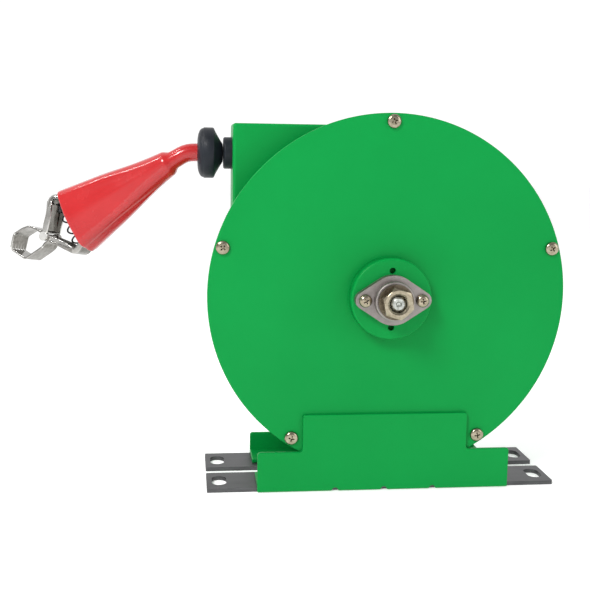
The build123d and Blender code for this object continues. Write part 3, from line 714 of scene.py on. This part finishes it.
def smooth_step(a, b, x):
    """0 before a, 1 past b and an even curve between."""
    t = min(max((x - a) / (b - a), 0.0), 1.0)
    return t * t * (3 - 2 * t)


def boot_section(x):
    """Half width, half height, corner radius and crown of the boot at x millimetres past its shoulder."""
    share = min(max(x / BOOT_L, 0.0), 1.0)
    half_h = SHOULDER_R + 14.8 * share**1.12
    half_w = SHOULDER_R + 5.0 * share
    shoulder = smooth_step(-2.5, 3.2, x)
    half_h = NECK_R + (half_h - NECK_R) * shoulder
    half_w = NECK_R + (half_w - NECK_R) * shoulder
    round_share = smooth_step(10, 55, x)
    corner = half_w * (1 - 0.46 * round_share)
    crown = 2.3 * round_share
    return half_w, half_h, corner, crown


rings = []
neck_points = [
    (Vector((-0.1306, 0, 0.2346)), Vector((-1, 0, 0))),
    (Vector((-0.1330, 0, 0.2346)), Vector((-1, 0, -0.02))),
    (Vector((-0.1354, 0, 0.2345)), Vector((-1, 0, -0.06))),
    (Vector((-0.1378, 0, 0.2341)), Vector((-1, 0.02, -0.14))),
    (Vector((-0.1401, 0, 0.2333)), Vector((-1, 0.08, -0.28))),
    (Vector((-0.1425, 0, 0.2321)), Vector((-1, 0.18, -0.42))),
    (Vector((-0.1448, 0, 0.2307)), Vector((-1, 0.28, -0.52))),
]
for centre, heading in neck_points:
    heading = heading.normalized()
    wide = CLIP_Y - heading * CLIP_Y.dot(heading)
    wide.normalize()
    tall = heading.cross(wide) * -1
    if tall.dot(CLIP_Z) < 0:
        tall = tall * -1
    rings.append([centre + (wide * u + tall * v) * MM for u, v in rounded_ring(NECK_R, NECK_R, NECK_R)])
stations = [-2.2, -1.2, -0.2, 0.8, 1.8, 2.8, 4, 6, 9, 12, 16, 20, 25]
stations += [30, 36, 42, 48, 54, 60, 66, 72, 78, 82.0, 84.0, 84.8]
for x in stations:
    w, h, c, crown = boot_section(x)
    trim = 0.25 if x > 84.5 else 0.0
    rings.append([clip(x, u, v) for u, v in rounded_ring(w - trim, h - trim, c - trim * 0.5, crown)])
inner = [85.0, 84.7, 82, 78, 72, 66, 60, 54, 48, 42, 36, 30, 25, 20]
for k, x in enumerate(inner):
    w, h, c, crown = boot_section(x)
    wall = (0.7, 1.4)[k] if k < 2 else BOOT_WALL
    rings.append([clip(x, u, v) for u, v in rounded_ring(w - wall, h - wall, max(c - wall, 0.8), crown)])
count = len(rings[0])
verts = [p for ring in rings for p in ring]
faces = []
for i in range(len(rings) - 1):
    for j in range(count):
        k = (j + 1) % count
        faces.append((i * count + j, i * count + k, (i + 1) * count + k, (i + 1) * count + j))
faces.append(tuple(range(count)))
faces.append(tuple(range((len(rings) - 1) * count, len(rings) * count)))
boot = add_piece("vinyl_boot", verts, faces, RED, None, ["boot"], 75)
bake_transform(boot)


# ------------------------------------------------------------------ clip halves
PIVOT = (110.1, 0.0)
EYE_R = 3.1
CLIP_SHEET = 1.3
ARM_HALF_W = 1.9
CURL_END, CURL_FULL, CURL_DEPTH = PIVOT[0] - 6, 99, 2.2
TOOTH = 0.55


def soft_path(points, radius, steps=6):
    """The same bends, each turned into an arc-like run of points."""
    path = [Vector((*points[0], 0))]
    for before, here, after in zip(points, points[1:], points[2:]):
        a, b, c = Vector((*before, 0)), Vector((*here, 0)), Vector((*after, 0))
        reach = min(radius, (b - a).length * 0.45, (c - b).length * 0.45)
        p = b + (a - b).normalized() * reach
        q = b + (c - b).normalized() * reach
        for i in range(steps + 1):
            t = i / steps
            path.append(p * (1 - t) ** 2 + b * 2 * t * (1 - t) + q * t**2)
    path.append(Vector((*points[-1], 0)))
    return path


def half_width(x):
    """Half of the strip's width: the handle is widest and the waist a little narrower."""
    waist = math.exp(-(((x - PIVOT[0]) / 6.0) ** 2))
    return 9.0 - 0.9 * waist


def stamped(points, side, body, name, nodes, ears, arm, pin_hole):
    """A bent strip with turned-in edges, jaw teeth and two pierced ears at plus and minus ears."""
    path = soft_path(points, 1.3)
    columns = 23
    rings = []
    count = len(path)
    for i, p in enumerate(path):
        before, after = path[max(i - 1, 0)], path[min(i + 1, count - 1)]
        direction = (after - before).normalized()
        normal = Vector((-direction.y, direction.x, 0)) * side
        half = half_width(p.x)
        outer, inner = [], []
        for c in range(columns):
            share = 2 * c / (columns - 1) - 1
            y = half * share
            curl = 0.0
            if p.x < CURL_END:
                curl = -CURL_DEPTH * smooth_step(0.84, 1.0, abs(share))
                curl *= smooth_step(CURL_END, CURL_FULL, p.x)
            tooth = 0.0
            if i == count - 1:
                tooth = TOOTH if c % 4 in (0, 1) else -TOOTH
            base = p + direction * tooth + normal * curl
            top = base + normal * CLIP_SHEET
            inner.append(clip(base.x, y, base.y))
            outer.append(clip(top.x, y, top.y))
        rings.append(inner + outer[::-1])
    per = len(rings[0])
    verts = [p for ring in rings for p in ring]
    faces = []
    for i in range(count - 1):
        for j in range(per):
            k = (j + 1) % per
            faces.append((i * per + j, i * per + k, (i + 1) * per + k, (i + 1) * per + j))
    for ring_start in (0, (count - 1) * per):
        for c in range(columns - 1):
            a, b = ring_start + c, ring_start + c + 1
            d, e = ring_start + per - 1 - c, ring_start + per - 2 - c
            faces.append((a, b, e, d))
    groups = [(verts, faces, Matrix.Identity(4))]
    for sign in (-1, 1):
        ear_v, ear_f = ear_plate(ears * sign, sign, arm, pin_hole)
        groups.append((ear_v, ear_f, Matrix.Identity(4)))
    edge_bevel(add_piece(name, *placed(groups), NICKEL, body, nodes, 35), 0.00022, 2)


def ear_plate(y, sign, arm, hole):
    """A narrow arm from the web to a round eye about the pin."""
    pivot = Vector((*PIVOT, 0))
    steps = 32
    start = Vector((*arm[0], 0))
    heading = (start - pivot).normalized()
    base_angle = math.atan2(heading.y, heading.x)
    outline, eye = [], []
    for i in range(steps):
        angle = base_angle + 2 * math.pi * i / steps
        ray = Vector((math.cos(angle), math.sin(angle), 0))
        eye.append(pivot + ray * hole)
        outline.append(pivot + ray * EYE_R)
    verts, faces = [], []
    for depth in (0.0, CLIP_SHEET):
        for p in outline + eye:
            verts.append(clip(p.x, y + sign * depth, p.y))
    total = 2 * steps
    for i in range(steps):
        j = (i + 1) % steps
        faces.append((i, j, steps + j, steps + i))
        faces.append((total + i, total + steps + i, total + steps + j, total + j))
        faces.append((i, total + i, total + j, j))
        faces.append((steps + i, steps + j, total + steps + j, total + steps + i))
    chain = [pivot + heading * (EYE_R - 0.3)] + [Vector((*p, 0)) for p in arm[::-1]]
    left, right = [], []
    for i, p in enumerate(chain):
        before, after = chain[max(i - 1, 0)], chain[min(i + 1, len(chain) - 1)]
        direction = (after - before).normalized()
        across = Vector((-direction.y, direction.x, 0)) * ARM_HALF_W
        left.append(p + across)
        right.append(p - across)
    first = len(verts)
    n = len(chain)
    for depth in (0.03, CLIP_SHEET - 0.03):
        for p in left + right:
            verts.append(clip(p.x, y + sign * depth, p.y))
    for i in range(n - 1):
        a, b = first + i, first + i + 1
        c, d = first + n + i + 1, first + n + i
        faces.append((a, b, c, d))
        faces.append((a + 2 * n, d + 2 * n, c + 2 * n, b + 2 * n))
        faces.append((a, a + 2 * n, b + 2 * n, b))
        faces.append((d, c, c + 2 * n, d + 2 * n))
    faces.append((first, first + n, first + 3 * n, first + 2 * n))
    faces.append((first + n - 1, first + 3 * n - 1, first + 4 * n - 1, first + 2 * n - 1))
    return verts, faces


FIXED_LINE = [
    (44, 10.2), (60, 14.0), (84, 19.0), (90.5, 22.4), (94.5, 22.0), (106.5, 6.4), (108.2, 3.8),
    (112.0, 3.8), (114.2, 7.8), (118.5, 12.2), (123.5, 13.2), (131.5, 13.2), (138, 5.6),
]
MOVING_LINE = [
    (60, -13.6), (84, -19.0), (90.5, -22.2), (94, -21.8), (106.2, -6.2), (108.0, -3.8),
    (112.2, -3.8), (114.6, -5.4), (119.6, -5.8), (131.0, -6.2), (138, 5.1),
]
stamped(
    FIXED_LINE, 1, "clip_frame", "clip_upper_half", ["clip_fixed_half"],
    ears=7.6, arm=[(94.5, 20.6), (100.5, 11.0)], pin_hole=2.0,
)
stamped(
    MOVING_LINE, -1, "clip_jaw", "clip_lower_half", ["clip_moving_half"],
    ears=6.0, arm=[(94.5, -19.8), (100.5, -11.0)], pin_hole=2.05,
)

# ------------------------------------------------------------------ clip spring
verts, faces = [], []
turns, wire, coil_r, coil_x = 5.0, 0.65, 3.9, 91.0
steps, around = 220, 10
low, high = -19.0, 19.0
for i in range(steps + 1):
    share = i / steps
    angle = 2 * math.pi * turns * share
    eased = share - math.sin(2 * math.pi * share) * 0.035
    rise = low + (high - low) * eased
    centre = Vector((coil_x + coil_r * math.cos(angle), coil_r * math.sin(angle), rise))
    radial = Vector((math.cos(angle), math.sin(angle), 0))
    for k in range(around):
        a = 2 * math.pi * k / around
        p = centre + (radial * math.cos(a) + Vector((0, 0, 1)) * math.sin(a)) * wire
        verts.append(clip(p.x, p.y, p.z))
for i in range(steps):
    for k in range(around):
        m = (k + 1) % around
        faces.append((i * around + k, i * around + m, (i + 1) * around + m, (i + 1) * around + k))
faces.append(tuple(range(around)))
faces.append(tuple(range(steps * around, (steps + 1) * around)))
coil = add_piece("clip_coil_spring", verts, faces, SPRING, "clip_frame", ["clip_spring"], 60)
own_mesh(coil)

# ------------------------------------------------------------------ camera
# angles in radians and distances in metres from the centre of the cover's face
AZ, EL, ROLL = 0.1136, 0.1525, 0.0151
DIST, SIDE, RISE = 0.6555, 0.0648, -0.0014
SENSOR, FRAME_PX, FOCAL_PX = 36.0, 590, 950
back = Vector((-math.sin(AZ) * math.cos(EL), -math.cos(AZ) * math.cos(EL), math.sin(EL)))
right = Vector((math.cos(AZ), -math.sin(AZ), 0))
upward = back.cross(right)
cam_right = right * math.cos(ROLL) + upward * math.sin(ROLL)
cam_up = upward * math.cos(ROLL) - right * math.sin(ROLL)
hub = Vector((0, COVER_Y, SHAFT_Z))
spot = hub + back * DIST - cam_right * SIDE - cam_up * RISE
camera_data = bpy.data.cameras.new("camera")
camera_data.sensor_width = SENSOR
camera_data.lens = FOCAL_PX / FRAME_PX * SENSOR
camera_data.clip_start = 0.01
camera = bpy.data.objects.new("camera", camera_data)
camera.matrix_world = Matrix.Translation(spot) @ Matrix((cam_right, cam_up, back)).transposed().to_4x4()
scene.collection.objects.link(camera)
scene.camera = camera

# ------------------------------------------------------------------ floor and light
floor_mesh = bpy.data.meshes.new("floor")
FLOOR = 6
corners = [(-FLOOR, -FLOOR, 0), (FLOOR, -FLOOR, 0), (FLOOR, FLOOR, 0), (-FLOOR, FLOOR, 0)]
floor_mesh.from_pydata(corners, [], [(0, 1, 2, 3)])
floor = bpy.data.objects.new("floor", floor_mesh)
scene.collection.objects.link(floor)
mat, tree, bsdf = new_material("studio_floor")
bsdf.inputs["Base Color"].default_value = (0.93, 0.93, 0.93, 1)
bsdf.inputs["Emission Color"].default_value = (1, 1, 1, 1)
bsdf.inputs["Emission Strength"].default_value = 0.30
bsdf.inputs["Roughness"].default_value = 0.9
floor_mesh.materials.append(mat)

world = bpy.data.worlds.new("studio")
scene.world = world
world.use_nodes = True
sky = world.node_tree
sky_parts = node(sky, "ShaderNodeSeparateXYZ")
sky.links.new(node(sky, "ShaderNodeTexCoord").outputs["Generated"], sky_parts.inputs[0])
# white all round, darker high up on the front side, so that metal has something dark to reflect
sky_side = grey_ramp(sky, sky_parts.outputs["Y"], 1.0, 0.0, 0.0, 0.12)
sky_above = grey_ramp(sky, sky_parts.outputs["Z"], 0.0, 1.0, 0.10, 0.28)
sky_shade = mix(sky, sky_side, (1, 1, 1), mix(sky, sky_above, (1, 1, 1), (0.38, 0.38, 0.38)))
sky.links.new(sky_shade, sky.nodes["Background"].inputs["Color"])
sky.nodes["Background"].inputs["Strength"].default_value = 1.08


def area(name, place, aim, size, power, size_y=None, along=None):
    """Area lamp aimed at a point; along turns the long side of a narrow one."""
    data = bpy.data.lights.new(name, "AREA")
    data.energy = power
    data.size = size
    if size_y:
        data.shape = "RECTANGLE"
        data.size_y = size_y
    lamp = bpy.data.objects.new(name, data)
    direction = (Vector(aim) - Vector(place)).normalized()
    if along:
        side = (Vector(along) - direction * direction.dot(Vector(along))).normalized()
        turn = Matrix((side, side.cross(direction), -direction)).transposed()
    else:
        turn = direction.to_track_quat("-Z", "Y").to_matrix()
    lamp.rotation_euler = turn.to_euler()
    lamp.location = place
    scene.collection.objects.link(lamp)


area("key", (-0.9, -1.1, 1.25), (0, 0, 0.13), 0.50, 20.5)
area("fill", (1.2, -1.0, 0.7), (0, 0, 0.15), 0.9, 5)
boot_line = (-0.80, 0.30, -0.515)
area("strip", (-0.52, -0.03, 0.66), (-0.2, 0.02, 0.2), 0.30, 1.1, 0.018, boot_line)
scene.view_settings.view_transform = "Standard"
